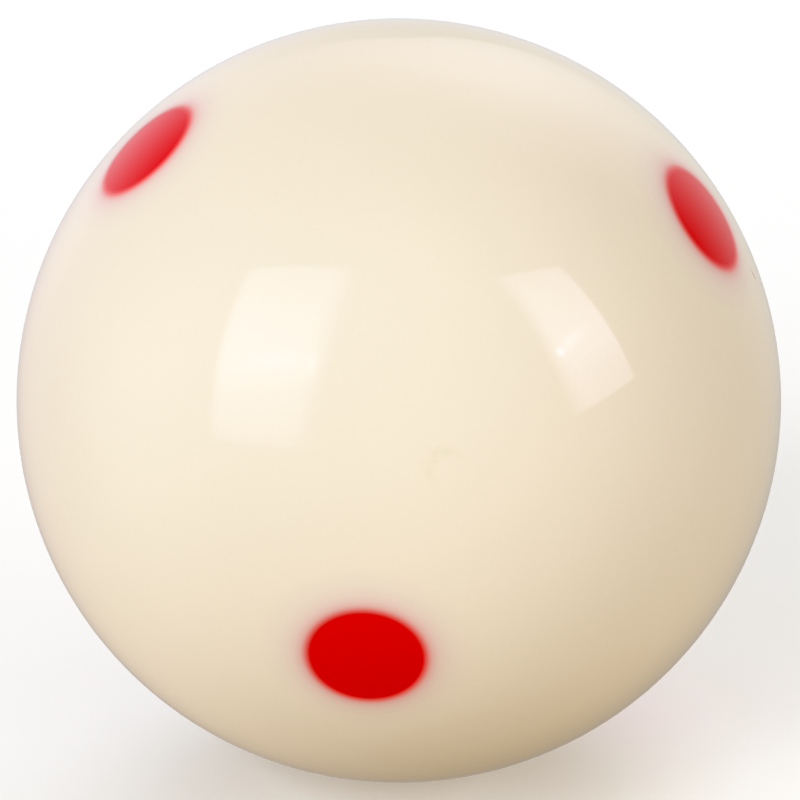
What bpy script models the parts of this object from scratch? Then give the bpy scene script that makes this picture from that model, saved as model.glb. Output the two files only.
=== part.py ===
"""Six-spot cue ball for pool.

A solid ball of cast phenolic resin with six round inlays of red resin set flush in its surface, one at
each end of three axes at right angles. Every inlay is a plug with a domed outer face, a straight wall and
a drilled point, and it sits in a blind socket of the same shape. The ball's origin is its centre, with +Z
up. The ball lies as it came to rest: its front spot dips below level, and the ball is turned about it.
"""

import math

import bmesh
import bpy
from mathutils import Vector

# Driving dimensions, in metres.
BALL_DIAMETER = 0.05715
SPOT_DIAMETER = 0.0084
INLAY_DEPTH = 0.0050
FIT_GAP = 0.0003

# The drill's point angle shapes the bottom of each socket, and the inlay cast into it.
DRILL_POINT = math.radians(118.0)

# How the ball lies: the front spot, on the -Y side, dips by SPOT_DIP below level, and the ball is turned
# by BALL_TURN about that spot, anticlockwise as seen from the front.
SPOT_DIP = math.radians(16.5)
BALL_TURN = math.radians(38.4)

# How finely round shapes are divided.
BALL_SEGMENTS = 64
BALL_RINGS = 32
INLAY_SEGMENTS = 32
DOME_STEPS = 4

# The cutter that makes a socket reaches this far out past the ball's surface.
CUTTER_OVERSHOOT = 0.0020

MERGE_DISTANCE = 0.000001
SHARP_ANGLE = math.radians(30.0)

BALL_RADIUS = BALL_DIAMETER / 2.0
SPOT_RADIUS = SPOT_DIAMETER / 2.0

IVORY_RESIN = (0.86, 0.785, 0.655, 1.0)
RED_RESIN = (0.72, 0.004, 0.004, 1.0)
POLISH_ROUGHNESS = 0.04

# Each inlay by name, with the way it faces on a ball that lies level and unturned.
INLAYS = {
    "spot_top": Vector((0.0, 0.0, 1.0)),
    "spot_bottom": Vector((0.0, 0.0, -1.0)),
    "spot_left": Vector((-1.0, 0.0, 0.0)),
    "spot_right": Vector((1.0, 0.0, 0.0)),
    "spot_front": Vector((0.0, -1.0, 0.0)),
    "spot_back": Vector((0.0, 1.0, 0.0)),
}


def clear_scene():
    for item in list(bpy.data.objects):
        bpy.data.objects.remove(item, do_unlink=True)


def resin(name, colour):
    """Polished cast resin."""
    material = bpy.data.materials.new(name)
    material.use_nodes = True
    shader = material.node_tree.nodes["Principled BSDF"]
    shader.inputs["Base Color"].default_value = colour
    shader.inputs["Roughness"].default_value = POLISH_ROUGHNESS
    shader.inputs["Metallic"].default_value = 0.0
    material.diffuse_color = colour
    return material


def add_object(name, mesh, parent=None):
    item = bpy.data.objects.new(name, mesh)
    item.parent = parent
    bpy.context.collection.objects.link(item)
    return item


def shade(mesh):
    mesh.shade_smooth()
    mesh.set_sharp_from_angle(angle=SHARP_ANGLE)


def turned_mesh(name, profile):
    """Spin a profile of (radius, height) points about Z. It runs from the axis out, down and back in."""
    shape = bmesh.new()
    points = [shape.verts.new((radius, 0.0, height)) for radius, height in profile]
    edges = [shape.edges.new(pair) for pair in zip(points, points[1:])]
    bmesh.ops.spin(
        shape,
        geom=points + edges,
        cent=(0.0, 0.0, 0.0),
        axis=(0.0, 0.0, 1.0),
        angle=math.tau,
        steps=INLAY_SEGMENTS,
        use_merge=True,
    )
    bmesh.ops.remove_doubles(shape, verts=shape.verts, dist=MERGE_DISTANCE)
    bmesh.ops.recalc_face_normals(shape, faces=shape.faces)
    mesh = bpy.data.meshes.new(name)
    shape.to_mesh(mesh)
    shape.free()
    shade(mesh)
    return mesh


def point_height(radius):
    """Height of the drilled cone that narrows from this radius to its tip."""
    return radius / math.tan(DRILL_POINT / 2.0)


def inlay_profile():
    """A dome on the ball's own curve, a straight wall and a point, measured from the ball's centre."""
    rim_angle = math.asin(SPOT_RADIUS / BALL_RADIUS)
    angles = [rim_angle * step / DOME_STEPS for step in range(DOME_STEPS + 1)]
    dome = [(BALL_RADIUS * math.sin(angle), BALL_RADIUS * math.cos(angle)) for angle in angles]
    tip_height = BALL_RADIUS - INLAY_DEPTH
    shoulder_height = tip_height + point_height(SPOT_RADIUS)
    return dome + [(SPOT_RADIUS, shoulder_height), (0.0, tip_height)]


def socket_profile():
    """The inlay's wall and point, larger by the gap all round and open past the ball's surface."""
    radius = SPOT_RADIUS + FIT_GAP
    tip_height = BALL_RADIUS - INLAY_DEPTH - FIT_GAP / math.sin(DRILL_POINT / 2.0)
    shoulder_height = tip_height + point_height(radius)
    mouth_height = BALL_RADIUS + CUTTER_OVERSHOOT
    return [(0.0, mouth_height), (radius, mouth_height), (radius, shoulder_height), (0.0, tip_height)]


def add_lie():
    """The empty that carries the spots as the ball lies: turned about the front spot, then dipped."""
    lie = add_object("lie", None)
    lie.rotation_mode = "YXZ"
    lie.rotation_euler = (SPOT_DIP, -BALL_TURN, 0.0)
    return lie


def aim(item, facing):
    """Turn an object so that its own +Z points the way a spot faces."""
    item.rotation_mode = "QUATERNION"
    item.rotation_quaternion = facing.to_track_quat("Z", "Y")


def add_cutter(name, mesh, lie, facing):
    cutter = add_object("socket_cutter_" + name, mesh, lie)
    aim(cutter, facing)
    cutter.hide_render = True
    cutter.display_type = "WIRE"
    return cutter


def ball_mesh():
    """The plain sphere, with points on all three axes so that it measures its full diameter."""
    shape = bmesh.new()
    bmesh.ops.create_uvsphere(shape, u_segments=BALL_SEGMENTS, v_segments=BALL_RINGS, radius=BALL_RADIUS)
    mesh = bpy.data.meshes.new("ball_body")
    shape.to_mesh(mesh)
    shape.free()
    shade(mesh)
    return mesh


def add_ball_body(lie):
    """The cream sphere with six blind sockets."""
    ball = add_object("ball_body", ball_mesh())
    ball.data.materials.append(resin("ivory_resin", IVORY_RESIN))
    cutter_mesh = turned_mesh("socket_cutter", socket_profile())
    for name, facing in INLAYS.items():
        cut = ball.modifiers.new("socket_" + name, "BOOLEAN")
        cut.operation = "DIFFERENCE"
        cut.solver = "EXACT"
        cut.object = add_cutter(name, cutter_mesh, lie, facing)
    return ball


def add_inlays(lie):
    """Six red plugs, one in each socket."""
    mesh = turned_mesh("spot_inlay", inlay_profile())
    for name, facing in INLAYS.items():
        inlay = add_object(name, mesh.copy(), lie)
        inlay.data.materials.append(resin("red_resin_" + name, RED_RESIN))
        aim(inlay, facing)


def main():
    clear_scene()
    lie = add_lie()
    add_ball_body(lie)
    add_inlays(lie)


main()
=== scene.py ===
"""Looks of a six-spot cue ball: polished ivory resin with six red resin inlays, on a pale studio floor.

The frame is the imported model's: lengths in metres, +Z up and the origin at the ball's centre. Azimuths run
from -Y towards +X. Values in millimetres or degrees say so.
"""

import math

import bmesh
import bpy
from mathutils import Matrix, Vector


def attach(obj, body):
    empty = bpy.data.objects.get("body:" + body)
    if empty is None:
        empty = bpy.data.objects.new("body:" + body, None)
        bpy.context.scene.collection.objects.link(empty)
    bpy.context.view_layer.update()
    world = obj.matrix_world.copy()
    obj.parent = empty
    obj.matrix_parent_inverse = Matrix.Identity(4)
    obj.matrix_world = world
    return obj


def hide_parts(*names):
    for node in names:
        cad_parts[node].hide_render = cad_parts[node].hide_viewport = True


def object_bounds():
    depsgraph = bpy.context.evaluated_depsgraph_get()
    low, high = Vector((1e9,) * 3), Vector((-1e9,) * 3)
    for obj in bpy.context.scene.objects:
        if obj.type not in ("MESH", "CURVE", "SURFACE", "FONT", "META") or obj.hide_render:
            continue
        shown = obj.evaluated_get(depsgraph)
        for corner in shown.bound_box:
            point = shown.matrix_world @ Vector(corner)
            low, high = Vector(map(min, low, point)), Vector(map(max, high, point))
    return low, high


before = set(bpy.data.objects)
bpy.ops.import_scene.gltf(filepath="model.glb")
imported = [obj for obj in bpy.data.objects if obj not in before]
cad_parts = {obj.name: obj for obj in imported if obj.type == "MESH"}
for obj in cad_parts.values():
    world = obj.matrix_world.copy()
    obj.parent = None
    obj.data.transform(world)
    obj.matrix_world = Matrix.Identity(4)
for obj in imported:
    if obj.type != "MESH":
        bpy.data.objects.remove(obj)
cad_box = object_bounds()

MM_PER_METRE = 1000.0

# Viewing angle, in degrees, and framing. The camera stands nine ball radii from the ball's centre.
CAMERA_AZIMUTH = 4.75
CAMERA_ELEVATION = 22.0
CAMERA_DISTANCE_IN_RADII = 9.0
LENS_MM = 153.9
SENSOR_MM = 36.0
FRAMING_SHIFT = (0.0015, 0.0006)
NEAREST_SEEN = 0.01

# The way each inlay faces, along the ball's own axes: right, back and top.
FACINGS = {
    "spot_top": Vector((0.0, 0.0, 1.0)),
    "spot_bottom": Vector((0.0, 0.0, -1.0)),
    "spot_left": Vector((-1.0, 0.0, 0.0)),
    "spot_right": Vector((1.0, 0.0, 0.0)),
    "spot_front": Vector((0.0, -1.0, 0.0)),
    "spot_back": Vector((0.0, 1.0, 0.0)),
}

# How finely the surfaces are divided: points along one side of each spot's patch of the ball, rings from
# the spot's rim to the patch's edge, and rings across an inlay's dome.
PATCH_SIDE = 40
PATCH_RINGS = 40
DOME_RINGS = 10

# Below its rim an inlay narrows by this much, so that its wall stays clear of its socket's.
WALL_TAPER = 0.00005

# A solid's points at this share of its rim's radius or more are on its wall.
WALL_SHARE = 0.98

# Points closer than this are one point.
MERGE_DISTANCE = 0.000002

BALL_RADIUS = (cad_box[1] - cad_box[0]).z / 2.0

# Points this far or further from the ball's centre are on its polished surface.
SURFACE_RADIUS = 0.999999 * BALL_RADIUS


# --- The ball's own axes and the inlays' sizes, read from the frame -----------------------------------


def solid_points(node):
    return [vertex.co.copy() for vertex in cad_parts[node].data.vertices]


def solid_axis(node):
    """The way an inlay faces: its solid is round about a line through the ball's centre."""
    return sum(solid_points(node), Vector()).normalized()


def ball_axes():
    """A matrix whose columns are the ball's right, back and top directions in the frame."""
    top = solid_axis("spot_top")
    right = solid_axis("spot_right")
    right = (right - top * right.dot(top)).normalized()
    back = top.cross(right)
    return Matrix((right, back, top)).transposed()


def inlay_profile():
    """Rim radius, and the heights of shoulder and tip above the ball's centre, of one inlay's solid."""
    axis = solid_axis("spot_top")
    points = solid_points("spot_top")
    heights = [point.dot(axis) for point in points]
    radii = [(point - axis * height).length for point, height in zip(points, heights)]
    rim_radius = max(radii)
    wall = [height for height, radius in zip(heights, radii) if radius > WALL_SHARE * rim_radius]
    return rim_radius, min(wall), min(heights)


AXES = ball_axes()
SPOT_RADIUS, SHOULDER_HEIGHT, TIP_HEIGHT = inlay_profile()
SPOT_ANGLE = math.asin(SPOT_RADIUS / BALL_RADIUS)


# --- Meshes --------------------------------------------------------------------------------------------


def patch_edge():
    """Directions round the edge of one sixth of the sphere: a cube's face, blown up round, about +Z."""
    directions = []
    for turn in range(4):
        quarter = Matrix.Rotation(turn * math.pi / 2.0, 3, "Z")
        for step in range(PATCH_SIDE):
            slant = math.tan(math.pi * (step / PATCH_SIDE - 0.5) / 2.0)
            directions.append((quarter @ Vector((1.0, slant, 1.0))).normalized())
    return directions


def sphere_ring(edge, share, inner_angle, outer_angle=None):
    """Points on the ball at a share of the way out, along the great circles from +Z to a patch's edge. The
    way out ends at the patch's edge, or at an outer angle from +Z."""
    ring = []
    for direction in edge:
        azimuth = math.atan2(direction.y, direction.x)
        last_angle = math.acos(direction.z) if outer_angle is None else outer_angle
        angle = inner_angle + (last_angle - inner_angle) * share
        flat = BALL_RADIUS * math.sin(angle)
        height = BALL_RADIUS * math.cos(angle)
        ring.append(Vector((flat * math.cos(azimuth), flat * math.sin(azimuth), height)))
    return ring


def level_ring(edge, radius, height):
    """A circle of points at one height, in step with a patch's edge."""
    ring = []
    for direction in edge:
        azimuth = math.atan2(direction.y, direction.x)
        ring.append(Vector((radius * math.cos(azimuth), radius * math.sin(azimuth), height)))
    return ring


def facing_turn(facing):
    """A rotation that takes +Z to the way a spot faces, in the frame."""
    return AXES @ facing.to_track_quat("Z", "Y").to_matrix()


def add_ring(shape, turn, points):
    return [shape.verts.new(turn @ point) for point in points]


def join_rings(shape, inner, outer):
    """Faces between two rings of as many points."""
    for index in range(len(inner)):
        after = (index + 1) % len(inner)
        shape.faces.new((inner[index], outer[index], outer[after], inner[after]))


def close_ring(shape, ring, tip):
    """A fan from a ring to one point."""
    for index in range(len(ring)):
        after = (index + 1) % len(ring)
        shape.faces.new((tip, ring[index], ring[after]))


def finish_mesh(name, shape):
    """A mesh with outward faces, whose round surface has normals straight away from the ball's centre."""
    bmesh.ops.remove_doubles(shape, verts=shape.verts, dist=MERGE_DISTANCE)
    bmesh.ops.recalc_face_normals(shape, faces=shape.faces)
    mesh = bpy.data.meshes.new(name)
    shape.to_mesh(mesh)
    shape.free()
    for polygon in mesh.polygons:
        polygon.use_smooth = True
    normals = []
    for polygon in mesh.polygons:
        points = [mesh.vertices[index].co for index in polygon.vertices]
        on_surface = all(point.length > SURFACE_RADIUS for point in points)
        normals += [point.normalized() if on_surface else polygon.normal for point in points]
    mesh.normals_split_custom_set(normals)
    return mesh


def ball_mesh():
    """The ivory resin: six patches of the sphere, each with a socket in its middle."""
    shape = bmesh.new()
    edge = patch_edge()
    for facing in FACINGS.values():
        turn = facing_turn(facing)
        rim = add_ring(shape, turn, sphere_ring(edge, 0.0, SPOT_ANGLE))
        inner = rim
        for step in range(1, PATCH_RINGS + 1):
            outer = add_ring(shape, turn, sphere_ring(edge, step / PATCH_RINGS, SPOT_ANGLE))
            join_rings(shape, inner, outer)
            inner = outer
        shoulder = add_ring(shape, turn, level_ring(edge, SPOT_RADIUS, SHOULDER_HEIGHT))
        join_rings(shape, shoulder, rim)
        tip = shape.verts.new(turn @ Vector((0.0, 0.0, TIP_HEIGHT - WALL_TAPER)))
        close_ring(shape, shoulder, tip)
    return finish_mesh("ball_resin", shape)


def inlay_mesh(name, facing):
    """The red resin of one spot: a dome on the ball's curve, a tapering wall and a drilled point."""
    shape = bmesh.new()
    edge = patch_edge()
    turn = facing_turn(facing)
    crown = shape.verts.new(turn @ Vector((0.0, 0.0, BALL_RADIUS)))
    ring = add_ring(shape, turn, sphere_ring(edge, 1.0 / DOME_RINGS, 0.0, SPOT_ANGLE))
    close_ring(shape, ring, crown)
    for step in range(2, DOME_RINGS + 1):
        outer = add_ring(shape, turn, sphere_ring(edge, step / DOME_RINGS, 0.0, SPOT_ANGLE))
        join_rings(shape, ring, outer)
        ring = outer
    shoulder = add_ring(shape, turn, level_ring(edge, SPOT_RADIUS - WALL_TAPER, SHOULDER_HEIGHT))
    join_rings(shape, ring, shoulder)
    tip = shape.verts.new(turn @ Vector((0.0, 0.0, TIP_HEIGHT)))
    close_ring(shape, shoulder, tip)
    return finish_mesh(name, shape)


def add_piece(name, mesh, material, node):
    """A visible piece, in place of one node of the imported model."""
    piece = bpy.data.objects.new(name, mesh)
    bpy.context.scene.collection.objects.link(piece)
    mesh.materials.append(material)
    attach(piece, "root")
    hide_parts(node)


# --- Materials -----------------------------------------------------------------------------------------

IVORY = (0.86, 0.785, 0.655, 1.0)
RESIN_IOR = 1.5

# What the ivory's colour is multiplied by, at a distance from a spot's rim in millimetres. It makes red
# inside the rim, and outside it a fringe, where the red shows faintly through the ivory.
SPOT_TINTS = (
    (-0.45, (0.84, 0.00, 0.00)),
    (-0.20, (0.88, 0.07, 0.08)),
    (0.00, (0.93, 0.22, 0.25)),
    (0.30, (0.91, 0.56, 0.63)),
    (0.45, (0.915, 0.67, 0.75)),
    (0.80, (0.94, 0.80, 0.89)),
    (1.20, (0.95, 0.88, 0.94)),
    (2.00, (0.975, 0.955, 0.99)),
    (3.40, (1.00, 1.00, 1.00)),
)

# Patches of noise have a size in millimetres. Where they fade something in, they do so between two levels.

# Cast resin is faintly cloudy, and faintly grained close up: the size of the patches, and how far they move
# the colour either way.
CLOUD_SIZE = 14.0
CLOUD_SWING = 0.020
GRAIN_SIZE = 0.35
GRAIN_SWING = 0.015

# The polish: its roughness where it is cleanest, where handling has dulled it, and in a scratch.
CLEAN_ROUGHNESS = 0.02
DULL_ROUGHNESS = 0.045
SCRATCH_ROUGHNESS = 0.25
DULL_PATCH_SIZE = 9.0
DULL_LEVELS = (0.35, 0.75)

# The polished surface is slightly wavy: the length and height of its waves, in millimetres.
WAVE_LENGTH = 5.0
WAVE_HEIGHT = 0.0025

# Polishing leaves hairlines, arcs along which parallel planes cut the ball. Each set has the way its
# planes face, and their mean spacing in millimetres, like the lines' width and depth. Each arc shows only
# where its own noise is high, and the step between the sets' seeds keeps them from sharing any.
HAIRLINES = (
    (Vector((0.30, 0.86, 0.41)), 2.6),
    (Vector((-0.72, 0.25, 0.65)), 3.4),
    (Vector((0.55, -0.35, 0.76)), 4.1),
    (Vector((0.93, 0.28, -0.24)), 2.9),
)
HAIRLINE_WIDTH = 0.05
HAIRLINE_DEPTH = 0.0006
HAIRLINE_PATCH_SIZE = 7.0
HAIRLINE_LEVELS = (0.52, 0.62)
HAIRLINE_SEED_STEP = 100.0

# Marks of use, each placed by directions from the ball's centre. The first is a faint smudge on the front:
# a soft disc less another, with their radius in millimetres and the share of it that their edges fade over
# either way.
SMUDGE_CENTRE = Vector((0.185, -0.955, 0.225))
SMUDGE_HOLLOW = Vector((0.205, -0.957, 0.205))
SMUDGE_RADIUS = 1.3
SMUDGE_SOFTNESS = 0.3
SMUDGE_TINT = (0.94, 0.955, 0.90, 1.0)
SMUDGE_PATCH_SIZE = 0.8
SMUDGE_LEVELS = (0.30, 0.60)

# The second is a fine dark scuff high on the right, with its width in millimetres.
SCUFF_ENDS = (Vector((0.904, -0.071, 0.422)), Vector((0.926, -0.059, 0.372)))
SCUFF_WIDTH = 0.22
SCUFF_TINT = (0.50, 0.32, 0.26, 1.0)
SCUFF_PATCH_SIZE = 0.4
SCUFF_LEVELS = (0.35, 0.55)


class Nodes:
    """A node tree, with short calls to add to it."""

    def __init__(self, tree):
        self.tree = tree

    def add(self, kind, inputs=(), **settings):
        item = self.tree.nodes.new(kind)
        for name, value in settings.items():
            setattr(item, name, value)
        for slot, value in dict(inputs).items():
            self.set(item.inputs[slot], value)
        return item

    def set(self, socket, value):
        """A value is a number, a vector, or another node's output."""
        if isinstance(value, bpy.types.NodeSocket):
            self.tree.links.new(value, socket)
        else:
            socket.default_value = value

    def math(self, operation, *values):
        return self.add("ShaderNodeMath", enumerate(values), operation=operation).outputs[0]

    def vector(self, operation, *values, output=0):
        return self.add("ShaderNodeVectorMath", enumerate(values), operation=operation).outputs[output]

    def scale(self, vector, amount):
        return self.add("ShaderNodeVectorMath", {0: vector, "Scale": amount}, operation="SCALE").outputs[0]

    def ramp(self, value, stops, interpolation="LINEAR"):
        """A colour through (place, colour) stops, with places from 0 to 1."""
        item = self.add("ShaderNodeValToRGB", {0: value})
        item.color_ramp.interpolation = interpolation
        while len(item.color_ramp.elements) < len(stops):
            item.color_ramp.elements.new(1.0)
        for element, (place, colour) in zip(item.color_ramp.elements, stops):
            element.position = place
            element.color = (*colour, 1.0)
        return item.outputs[0]

    def noise(self, position, size_mm):
        """Smooth noise about 0.5, in patches of this size."""
        inputs = {"Vector": position, "Scale": MM_PER_METRE / size_mm, "Detail": 2.0}
        return self.add("ShaderNodeTexNoise", inputs).outputs[0]

    def fade(self, value, start, end):
        """Smoothly from 0 at the start to 1 at the end."""
        return self.add(
            "ShaderNodeMapRange",
            {"Value": value, "From Min": start, "From Max": end},
            interpolation_type="SMOOTHSTEP",
        ).outputs["Result"]

    def mix(self, factor, first, second, blend="MIX"):
        item = self.add("ShaderNodeMix", data_type="RGBA", blend_type=blend)
        self.set(item.inputs[0], factor)
        self.set(item.inputs[6], first)
        self.set(item.inputs[7], second)
        return item.outputs[2]

    def place(self):
        """Where a point is, in the frame."""
        return self.add("ShaderNodeTexCoord").outputs["Object"]


def new_material(name):
    """A material and its nodes, with a Principled shader."""
    material = bpy.data.materials.new(name)
    material.use_nodes = True
    return material, Nodes(material.node_tree), material.node_tree.nodes["Principled BSDF"]


def spot_distance_mm(nodes, position):
    """Distance from a point to the rim of the nearest spot, along the surface, in millimetres."""
    direction = nodes.vector("NORMALIZE", position)
    nearness = None
    for axis in AXES.transposed():
        along = nodes.math("ABSOLUTE", nodes.vector("DOT_PRODUCT", direction, tuple(axis), output=1))
        nearness = along if nearness is None else nodes.math("MAXIMUM", nearness, along)
    angle = nodes.math("ARCCOSINE", nearness)
    return nodes.math("MULTIPLY", nodes.math("SUBTRACT", angle, SPOT_ANGLE), BALL_RADIUS * MM_PER_METRE)


def spot_tint(nodes, position):
    """The resin's tint: red inside a spot, paler close around it, and none beyond."""
    distance = spot_distance_mm(nodes, position)
    start = SPOT_TINTS[0][0]
    reach = SPOT_TINTS[-1][0] - start
    along = nodes.math("DIVIDE", nodes.math("SUBTRACT", distance, start), reach)
    return nodes.ramp(along, [((place_mm - start) / reach, tint) for place_mm, tint in SPOT_TINTS])


def cloudiness(nodes, position):
    """A factor close to 1 that makes the colour slightly uneven."""
    total = 1.0
    for size_mm, swing in ((CLOUD_SIZE, CLOUD_SWING), (GRAIN_SIZE, GRAIN_SWING)):
        off_middle = nodes.math("SUBTRACT", nodes.noise(position, size_mm), 0.5)
        total = nodes.math("MULTIPLY_ADD", off_middle, 2.0 * swing, total)
    return total


def hairlines(nodes, position):
    """Where the hairlines run, from 0 to 1. Each lies in a place of its own between two even steps."""
    total = 0.0
    for number, (facing, spacing) in enumerate(HAIRLINES):
        height = nodes.vector("DOT_PRODUCT", position, tuple(facing.normalized()), output=1)
        steps = nodes.math("MULTIPLY", height, MM_PER_METRE / spacing)
        step = nodes.math("FLOOR", steps)
        seed = nodes.math("ADD", step, HAIRLINE_SEED_STEP * number)
        place = nodes.add("ShaderNodeTexWhiteNoise", {"W": seed}, noise_dimensions="1D").outputs["Value"]
        away = nodes.math("ABSOLUTE", nodes.math("SUBTRACT", nodes.math("SUBTRACT", steps, step), place))
        line = nodes.fade(away, 0.5 * HAIRLINE_WIDTH / spacing, 0.0)
        moved = nodes.vector("ADD", position, nodes.scale(tuple(facing), seed))
        shown = nodes.fade(nodes.noise(moved, HAIRLINE_PATCH_SIZE), *HAIRLINE_LEVELS)
        total = nodes.math("MAXIMUM", total, nodes.math("MULTIPLY", line, shown))
    return total


def distance_mm(nodes, position, centre):
    """Distance from a point to a place on the ball's surface, in millimetres."""
    away = nodes.vector("DISTANCE", position, tuple(BALL_RADIUS * centre.normalized()), output=1)
    return nodes.math("MULTIPLY", away, MM_PER_METRE)


def smudge(nodes, position):
    """A crescent: a soft disc with another taken out of it."""
    outside = (1.0 + SMUDGE_SOFTNESS) * SMUDGE_RADIUS
    inside = (1.0 - SMUDGE_SOFTNESS) * SMUDGE_RADIUS
    disc, hollow = [
        nodes.fade(distance_mm(nodes, position, place), outside, inside)
        for place in (SMUDGE_CENTRE, SMUDGE_HOLLOW)
    ]
    crescent = nodes.math("MULTIPLY", disc, nodes.math("SUBTRACT", 1.0, hollow))
    speckle = nodes.fade(nodes.noise(position, SMUDGE_PATCH_SIZE), *SMUDGE_LEVELS)
    return nodes.math("MULTIPLY", crescent, speckle)


def scuff(nodes, position):
    """A short fine line, where the distances to its two ends add up to little more than its length."""
    start, end = [BALL_RADIUS * place.normalized() for place in SCUFF_ENDS]
    length = (end - start).length * MM_PER_METRE
    both = nodes.math("ADD", *[distance_mm(nodes, position, place) for place in SCUFF_ENDS])
    slack = SCUFF_WIDTH ** 2 / length
    line = nodes.fade(both, length + slack, length)
    speckle = nodes.fade(nodes.noise(position, SCUFF_PATCH_SIZE), *SCUFF_LEVELS)
    return nodes.math("MULTIPLY", line, speckle)


def resin_colour(nodes, position):
    """Ivory or red by the distance from the nearest spot's rim, slightly cloudy, with the marks of use."""
    colour = nodes.mix(1.0, IVORY, spot_tint(nodes, position), "MULTIPLY")
    colour = nodes.scale(colour, cloudiness(nodes, position))
    for mark, tint in ((smudge, SMUDGE_TINT), (scuff, SCUFF_TINT)):
        colour = nodes.mix(mark(nodes, position), colour, nodes.mix(1.0, colour, tint, "MULTIPLY"))
    return colour


def resin_roughness(nodes, position, scratches):
    """Polished, with duller patches, and rougher in the scratches."""
    dulled = nodes.fade(nodes.noise(position, DULL_PATCH_SIZE), *DULL_LEVELS)
    dulled = nodes.math("MAXIMUM", dulled, smudge(nodes, position))
    polish = nodes.math("MULTIPLY_ADD", dulled, DULL_ROUGHNESS - CLEAN_ROUGHNESS, CLEAN_ROUGHNESS)
    return nodes.math("MULTIPLY_ADD", scratches, SCRATCH_ROUGHNESS - CLEAN_ROUGHNESS, polish)


def resin_relief(nodes, position, scratches):
    """The surface's normal, with its slow waves and its scratches."""
    waves = nodes.math("MULTIPLY", nodes.noise(position, WAVE_LENGTH), WAVE_HEIGHT / MM_PER_METRE)
    surface = nodes.math("MULTIPLY_ADD", scratches, -HAIRLINE_DEPTH / MM_PER_METRE, waves)
    return nodes.add("ShaderNodeBump", {"Height": surface, "Distance": 1.0}).outputs["Normal"]


def resin(name):
    """Polished cast resin."""
    material, nodes, shader = new_material(name)
    position = nodes.place()
    scratches = nodes.math("MAXIMUM", hairlines(nodes, position), scuff(nodes, position))
    nodes.set(shader.inputs["Base Color"], resin_colour(nodes, position))
    nodes.set(shader.inputs["Roughness"], resin_roughness(nodes, position, scratches))
    nodes.set(shader.inputs["Normal"], resin_relief(nodes, position, scratches))
    shader.inputs["IOR"].default_value = RESIN_IOR
    return material


# --- Studio --------------------------------------------------------------------------------------------

# Colours of light: the flash lamps' and the cooler lamp's behind the ball, the softboxes' fronts, the wall
# and the table as the polish mirrors them, and the warm light from the table and the ceiling.
FLASH = (1.0, 0.985, 0.985)
COOL = (0.80, 0.89, 0.99)
FRONT = (1.08, 0.88, 1.12)
LILAC = (1.0, 0.86, 1.0)
WHITE = (1.0, 1.0, 1.0)
SAND = (1.0, 0.84, 0.68)
TAN = (1.0, 0.77, 0.45)

FLOOR_RADIUS = 4.0
FLOOR_SIDES = 128
FLOOR_COLOUR = (0.80, 0.80, 0.80, 1.0)
FLOOR_ROUGHNESS = 0.7
FLOOR_SPECULAR = 0.2
FLOOR_GLOW_COLOUR = (1.0, 1.0, 1.0, 1.0)
FLOOR_GLOW = 0.15
BACKDROP = (0.90, 0.90, 0.90, 1.0)

# Soft rectangular lamps: azimuth and elevation in degrees, width, height, radiance and colour of each, and
# how far all of them stand from the ball's centre.
LAMPS = {
    "key_light": (-40.0, 22.0, 0.36, 0.56, 8.0, FLASH),
    "fill_light": (76.0, 11.0, 0.36, 0.56, 4.9, FLASH),
    "back_light": (182.0, 30.0, 0.56, 0.36, 6.9, COOL),
}
LAMP_DISTANCE = 0.70

# Soft light from the room, in lobes. Each has the azimuth and elevation of its brightest direction, in
# degrees, a sharpness, a brightness and a colour.
AMBIENT_LOBES = (
    (-30.0, 55.0, 8.0, 0.44, FLASH),
    (150.0, 55.0, 8.0, 0.76, TAN),
    (30.0, -55.0, 8.0, 1.19, TAN),
)

# What the polish mirrors: a pale wall behind the ball and a warm table under it, in the same kind of
# lobes, and a wide rear panel in front of that wall.
MIRRORED_LOBES = (
    (-142.0, 4.0, 17.7, 0.83, LILAC),
    (161.0, 0.0, 12.0, 0.66, WHITE),
    (-173.0, -10.0, 45.0, 0.22, COOL),
    (-124.0, -46.0, 10.8, 0.93, SAND),
    (120.0, -50.0, 25.0, 0.35, TAN),
)
REAR_PANEL = (164.0, 38.0, 24.0, 1.19, LILAC)
MIRRORED_RADIUS = 2.0
MIRRORED_SUBDIVISIONS = 4

# The rear panel's edges run through pairs of directions, each with how softly it ends, in degrees. Past
# its side edge it is dark. Below its lower edge it is dark too, but only as far as the slanting edge.
SIDE_EDGE = ((128.0, 60.0), (128.0, 0.0), 5.0)
LOWER_EDGE = ((184.0, 22.0), (198.0, 19.0), 1.2)
SLANTING_EDGE = ((168.0, 5.5), (184.0, 22.0), 1.2)

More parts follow.
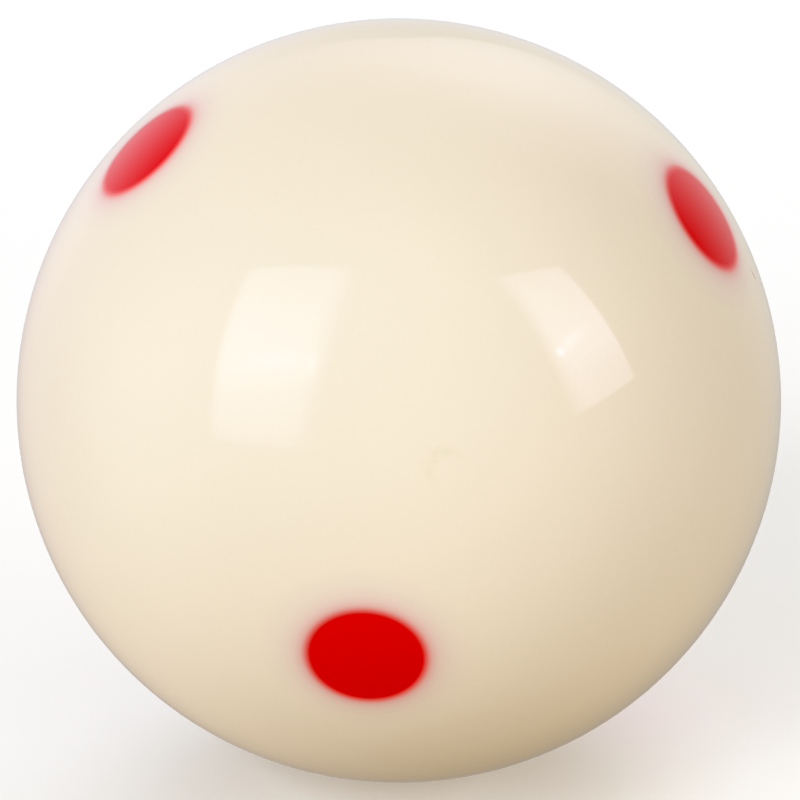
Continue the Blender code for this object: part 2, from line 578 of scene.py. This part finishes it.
# The softboxes as the polish mirrors them, each a card with its corners' azimuths and elevations in
# degrees, from top left round to bottom left. Brightness runs in stops from the card's top to its bottom,
# and a share of that in stops from its left to its right, both over places from 0 to 1. Each glint has a
# centre across and down the card, a half width and half height, a tilt in degrees and a brightness.
SOFTBOXES = {
    "left_softbox": {
        "corners": ((-65.5, 45.5), (-12.0, 59.5), (-18.5, 5.0), (-51.5, 2.0)),
        "down": (
            (0.0, 0.0), (0.01, 0.0), (0.05, 1.7), (0.15, 2.1), (0.36, 2.9), (0.47, 3.2), (0.58, 3.2),
            (0.64, 2.7), (0.72, 2.1), (0.85, 1.6), (0.93, 1.2), (0.96, 0.8), (0.99, 0.0), (1.0, 0.0),
        ),
        "across": (
            (0.0, 0.0), (0.03, 0.05), (0.09, 0.75), (0.15, 1.0), (0.73, 0.95), (0.80, 0.8), (0.86, 0.45),
            (0.93, 0.12), (1.0, 0.0),
        ),
        "glints": (
            ((0.56, 0.53), (0.20, 0.035), 3.0, 1.4),
            ((0.83, 0.54), (0.04, 0.05), 0.0, 2.0),
        ),
    },
    "right_softbox": {
        "corners": ((47.5, 52.5), (79.0, 44.5), (82.0, 10.0), (56.5, 7.5)),
        "down": (
            (0.0, 0.0), (0.015, 0.0), (0.045, 1.7), (0.15, 2.2), (0.28, 2.7), (0.42, 3.2), (0.52, 3.5),
            (0.62, 3.4), (0.70, 2.9), (0.76, 2.5), (0.90, 2.1), (0.935, 2.0), (0.965, 0.0), (1.0, 0.0),
        ),
        "across": (
            (0.0, 0.0), (0.07, 0.35), (0.15, 0.7), (0.22, 0.92), (0.30, 1.0), (0.90, 1.0), (0.95, 0.0),
            (1.0, 0.0),
        ),
        "glints": (
            ((0.19, 0.575), (0.035, 0.022), 0.0, 5.0),
            ((0.36, 0.545), (0.22, 0.03), 9.0, 2.0),
        ),
    },
}

# The cards stand this far from the ball's centre, and are divided this finely.
CARD_DISTANCE = 1.50
CARD_STEPS = 12

# The picture's tone curve: levels up to the black point are black, and highlights roll off softly towards
# the shoulder's level, with this sharpness of bend, instead of clipping.
BLACK_POINT = 0.03
SHOULDER_LEVEL = 1.04
SHOULDER_BEND = 10.4
CURVE_REACH = 1.6
CURVE_STEPS = 16


def towards(azimuth_degrees, elevation_degrees, distance=1.0):
    """A point seen from the ball's centre at an azimuth and an elevation."""
    azimuth = math.radians(azimuth_degrees)
    elevation = math.radians(elevation_degrees)
    return distance * Vector((
        math.sin(azimuth) * math.cos(elevation),
        -math.cos(azimuth) * math.cos(elevation),
        math.sin(elevation),
    ))


def camera_turn():
    """Columns are the camera's right, up and back in the frame."""
    back = towards(CAMERA_AZIMUTH, CAMERA_ELEVATION)
    right = towards(CAMERA_AZIMUTH + 90.0, 0.0)
    return Matrix((right, back.cross(right), back)).transposed()


def add_camera():
    data = bpy.data.cameras.new("camera")
    data.lens = LENS_MM
    data.sensor_width = SENSOR_MM
    data.shift_x, data.shift_y = FRAMING_SHIFT
    data.clip_start = NEAREST_SEEN
    camera = bpy.data.objects.new("camera", data)
    bpy.context.scene.collection.objects.link(camera)
    place = towards(CAMERA_AZIMUTH, CAMERA_ELEVATION, CAMERA_DISTANCE_IN_RADII * BALL_RADIUS)
    camera.matrix_world = Matrix.Translation(place) @ camera_turn().to_4x4()
    bpy.context.scene.camera = camera


def show_only_to(item, camera=False, diffuse=False, glossy=False):
    """Which rays see an object. It casts no shadow."""
    item.visible_camera = camera
    item.visible_diffuse = diffuse
    item.visible_glossy = glossy
    item.visible_shadow = False
    item.visible_transmission = False
    item.visible_volume_scatter = False


def add_lamp(name, azimuth, elevation, width, height, radiance, colour):
    """A soft rectangular lamp that faces the ball and stays out of its reflections."""
    centre = towards(azimuth, elevation, LAMP_DISTANCE)
    data = bpy.data.lights.new(name, "AREA")
    data.color = colour
    data.shape = "RECTANGLE"
    data.size = width
    data.size_y = height
    data.energy = radiance * math.pi * width * height
    light = bpy.data.objects.new(name, data)
    bpy.context.scene.collection.objects.link(light)
    turn = centre.to_track_quat("Z", "Y").to_matrix()
    light.matrix_world = Matrix.Translation(centre) @ turn.to_4x4()
    show_only_to(light, diffuse=True)


def lobe(nodes, direction, azimuth, elevation, sharpness, brightness, colour):
    """Brightness that falls off all round from one direction, as a colour."""
    along = nodes.vector("DOT_PRODUCT", direction, tuple(towards(azimuth, elevation)), output=1)
    falloff = nodes.math("POWER", nodes.math("MULTIPLY_ADD", along, 0.5, 0.5), sharpness)
    return nodes.scale(tuple(brightness * part for part in colour), falloff)


def lobes(nodes, direction, table):
    """The sum of a table's lobes."""
    total = (0.0, 0.0, 0.0)
    for row in table:
        total = nodes.vector("ADD", total, lobe(nodes, direction, *row))
    return total


def edge(nodes, direction, first, second, softness):
    """From 0 to 1 across the great circle through two directions. Seen from the ball, it is 1 on the right
    of the way from first to second."""
    across = towards(*first).cross(towards(*second)).normalized()
    reach = math.sin(math.radians(softness))
    along = nodes.vector("DOT_PRODUCT", direction, tuple(across), output=1)
    return nodes.fade(along, -reach, reach)


def rear_panel(nodes, direction):
    """The wide panel behind the ball, cut off along its edges."""
    lit = nodes.math(
        "MAXIMUM", edge(nodes, direction, *LOWER_EDGE), edge(nodes, direction, *SLANTING_EDGE)
    )
    lit = nodes.math("MULTIPLY", lit, edge(nodes, direction, *SIDE_EDGE))
    return nodes.scale(lobe(nodes, direction, *REAR_PANEL), lit)


def empty_material(name):
    """A material with no nodes yet, and its tree. It isn't sampled as a light."""
    material = bpy.data.materials.new(name)
    material.use_nodes = True
    material.cycles.emission_sampling = "NONE"
    nodes = Nodes(material.node_tree)
    nodes.tree.nodes.clear()
    return material, nodes


def add_mirrored_room():
    """A wide dome that only reflections see."""
    bpy.ops.mesh.primitive_ico_sphere_add(subdivisions=MIRRORED_SUBDIVISIONS, radius=MIRRORED_RADIUS)
    dome = bpy.context.object
    dome.name = "mirrored_room"
    material, nodes = empty_material("mirrored_room")
    direction = nodes.vector("NORMALIZE", nodes.place())
    room = nodes.vector("ADD", lobes(nodes, direction, MIRRORED_LOBES), rear_panel(nodes, direction))
    glow = nodes.add("ShaderNodeEmission", {"Color": room})
    nodes.add("ShaderNodeOutputMaterial", {"Surface": glow.outputs[0]})
    dome.data.materials.append(material)
    show_only_to(dome, glossy=True)


def card_grid(shape, corners):
    """Rows of points across a four-cornered sheet, from its top to its bottom."""
    top_left, top_right, bottom_right, bottom_left = [
        towards(azimuth, elevation, CARD_DISTANCE) for azimuth, elevation in corners
    ]
    shares = [step / CARD_STEPS for step in range(CARD_STEPS + 1)]
    grid = []
    for down in shares:
        left = top_left.lerp(bottom_left, down)
        right = top_right.lerp(bottom_right, down)
        grid.append([shape.verts.new(left.lerp(right, across)) for across in shares])
    return grid


def card_mesh(name, corners):
    """A four-cornered sheet. Its UV map runs from the top left, as the ball shows it, where the azimuth
    grows to the right."""
    shape = bmesh.new()
    layer = shape.loops.layers.uv.new("UVMap")
    grid = card_grid(shape, corners)
    for row in range(CARD_STEPS):
        for step in range(CARD_STEPS):
            places = ((row, step), (row + 1, step), (row + 1, step + 1), (row, step + 1))
            face = shape.faces.new([grid[down][across] for down, across in places])
            for loop, (down, across) in zip(face.loops, places):
                loop[layer].uv = (across / CARD_STEPS, down / CARD_STEPS)
    mesh = bpy.data.meshes.new(name)
    shape.to_mesh(mesh)
    shape.free()
    return mesh


def card_level(nodes, across, down, across_stops, down_stops):
    """A card's brightness down it, times a share across it."""
    peak = max(level for place, level in down_stops)
    along_down = nodes.ramp(down, [(place, (level / peak,) * 3) for place, level in down_stops], "EASE")
    along_across = nodes.ramp(across, [(place, (level,) * 3) for place, level in across_stops], "EASE")
    return nodes.math("MULTIPLY", peak, nodes.mix(1.0, along_down, along_across, "MULTIPLY"))


def glint(nodes, across, down, centre, half_size, tilt):
    """A soft oval of light on a card, from 0 to 1."""
    here = nodes.add("ShaderNodeCombineXYZ", {0: across, 1: down}).outputs[0]
    away = nodes.vector("SUBTRACT", here, (*centre, 0.0))
    turn = {"Vector": away, "Angle": math.radians(tilt)}
    turned = nodes.add("ShaderNodeVectorRotate", turn, rotation_type="Z_AXIS").outputs[0]
    scaled = nodes.vector("DIVIDE", turned, (*half_size, 1.0))
    square = nodes.vector("DOT_PRODUCT", scaled, scaled, output=1)
    return nodes.math("EXPONENT", nodes.math("MULTIPLY", square, -1.0))


def card_material(name, down_stops, across_stops, glints):
    """A softbox's face. Where it doesn't glow it is clear, so that the room shows past its soft edges."""
    material, nodes = empty_material(name)
    split = nodes.add("ShaderNodeSeparateXYZ", {0: nodes.add("ShaderNodeTexCoord").outputs["UV"]})
    across, down = split.outputs[0], split.outputs[1]
    level = card_level(nodes, across, down, across_stops, down_stops)
    for centre, half_size, tilt, brightness in glints:
        oval = glint(nodes, across, down, centre, half_size, tilt)
        level = nodes.math("MULTIPLY_ADD", oval, brightness, level)
    glow = nodes.add("ShaderNodeEmission", {"Color": (*FRONT, 1.0), "Strength": level})
    clear = nodes.add("ShaderNodeBsdfTransparent")
    both = nodes.add("ShaderNodeAddShader", {0: glow.outputs[0], 1: clear.outputs[0]})
    nodes.add("ShaderNodeOutputMaterial", {"Surface": both.outputs[0]})
    return material


def add_softbox(name, corners, down, across, glints):
    """A softbox as the polish mirrors it."""
    card = bpy.data.objects.new(name, card_mesh(name, corners))
    bpy.context.scene.collection.objects.link(card)
    card.data.materials.append(card_material(name, down, across, glints))
    show_only_to(card, glossy=True)


def floor_material():
    """Matt and pale, with a faint glow that keeps its shadows light."""
    material, nodes, shader = new_material("studio_floor")
    nodes.set(shader.inputs["Base Color"], FLOOR_COLOUR)
    nodes.set(shader.inputs["Roughness"], FLOOR_ROUGHNESS)
    nodes.set(shader.inputs["Specular IOR Level"], FLOOR_SPECULAR)
    nodes.set(shader.inputs["Emission Color"], FLOOR_GLOW_COLOUR)
    nodes.set(shader.inputs["Emission Strength"], FLOOR_GLOW)
    material.cycles.emission_sampling = "NONE"
    return material


def add_floor():
    """A plain pale floor that the ball rests on. Only the camera sees it."""
    bpy.ops.mesh.primitive_circle_add(
        vertices=FLOOR_SIDES,
        radius=FLOOR_RADIUS,
        fill_type="NGON",
        location=(0.0, 0.0, -BALL_RADIUS),
    )
    floor = bpy.context.object
    floor.name = "studio_floor"
    floor.data.materials.append(floor_material())
    show_only_to(floor, camera=True)


def add_world():
    """Soft light by direction, with a plain pale backdrop where the camera sees past the floor."""
    world = bpy.data.worlds.new("studio")
    world.use_nodes = True
    nodes = Nodes(world.node_tree)
    background = world.node_tree.nodes["Background"]
    direction = nodes.add("ShaderNodeTexCoord").outputs["Generated"]
    light = lobes(nodes, direction, AMBIENT_LOBES)
    seen = nodes.add("ShaderNodeLightPath").outputs["Is Camera Ray"]
    nodes.set(background.inputs["Color"], nodes.mix(seen, light, BACKDROP))
    bpy.context.scene.world = world


def rolled_off(level):
    """A level with its highlights softened. It stays below the shoulder's level, and no more than 1."""
    overshoot = (level / SHOULDER_LEVEL) ** SHOULDER_BEND
    return min(level / (1.0 + overshoot) ** (1.0 / SHOULDER_BEND), 1.0)


def soften_highlights():
    """The picture's tone curve: straight, with a soft shoulder at the top."""
    view = bpy.context.scene.view_settings
    view.view_transform = "Standard"
    view.use_curve_mapping = True
    mapping = view.curve_mapping
    white = BLACK_POINT + CURVE_REACH * (1.0 - BLACK_POINT)
    mapping.black_level = (BLACK_POINT, BLACK_POINT, BLACK_POINT)
    mapping.white_level = (white, white, white)
    points = mapping.curves[3].points
    points[0].location = (0.0, 0.0)
    points[-1].location = (1.0, rolled_off(CURVE_REACH))
    for step in range(1, CURVE_STEPS):
        share = step / CURVE_STEPS
        points.new(share, rolled_off(share * CURVE_REACH))
    mapping.update()


def add_studio():
    """The floor, the light and what the polish mirrors."""
    add_floor()
    add_world()
    add_mirrored_room()
    for name, softbox in SOFTBOXES.items():
        add_softbox(name, **softbox)
    for name, lamp in LAMPS.items():
        add_lamp(name, *lamp)
    soften_highlights()


def main():
    add_piece("ball_resin", ball_mesh(), resin("ivory_resin"), "ball_body")
    for node, facing in FACINGS.items():
        name = node.replace("spot", "inlay")
        add_piece(name, inlay_mesh(name, facing), resin("red_resin_" + name), node)
    add_camera()
    add_studio()


main()
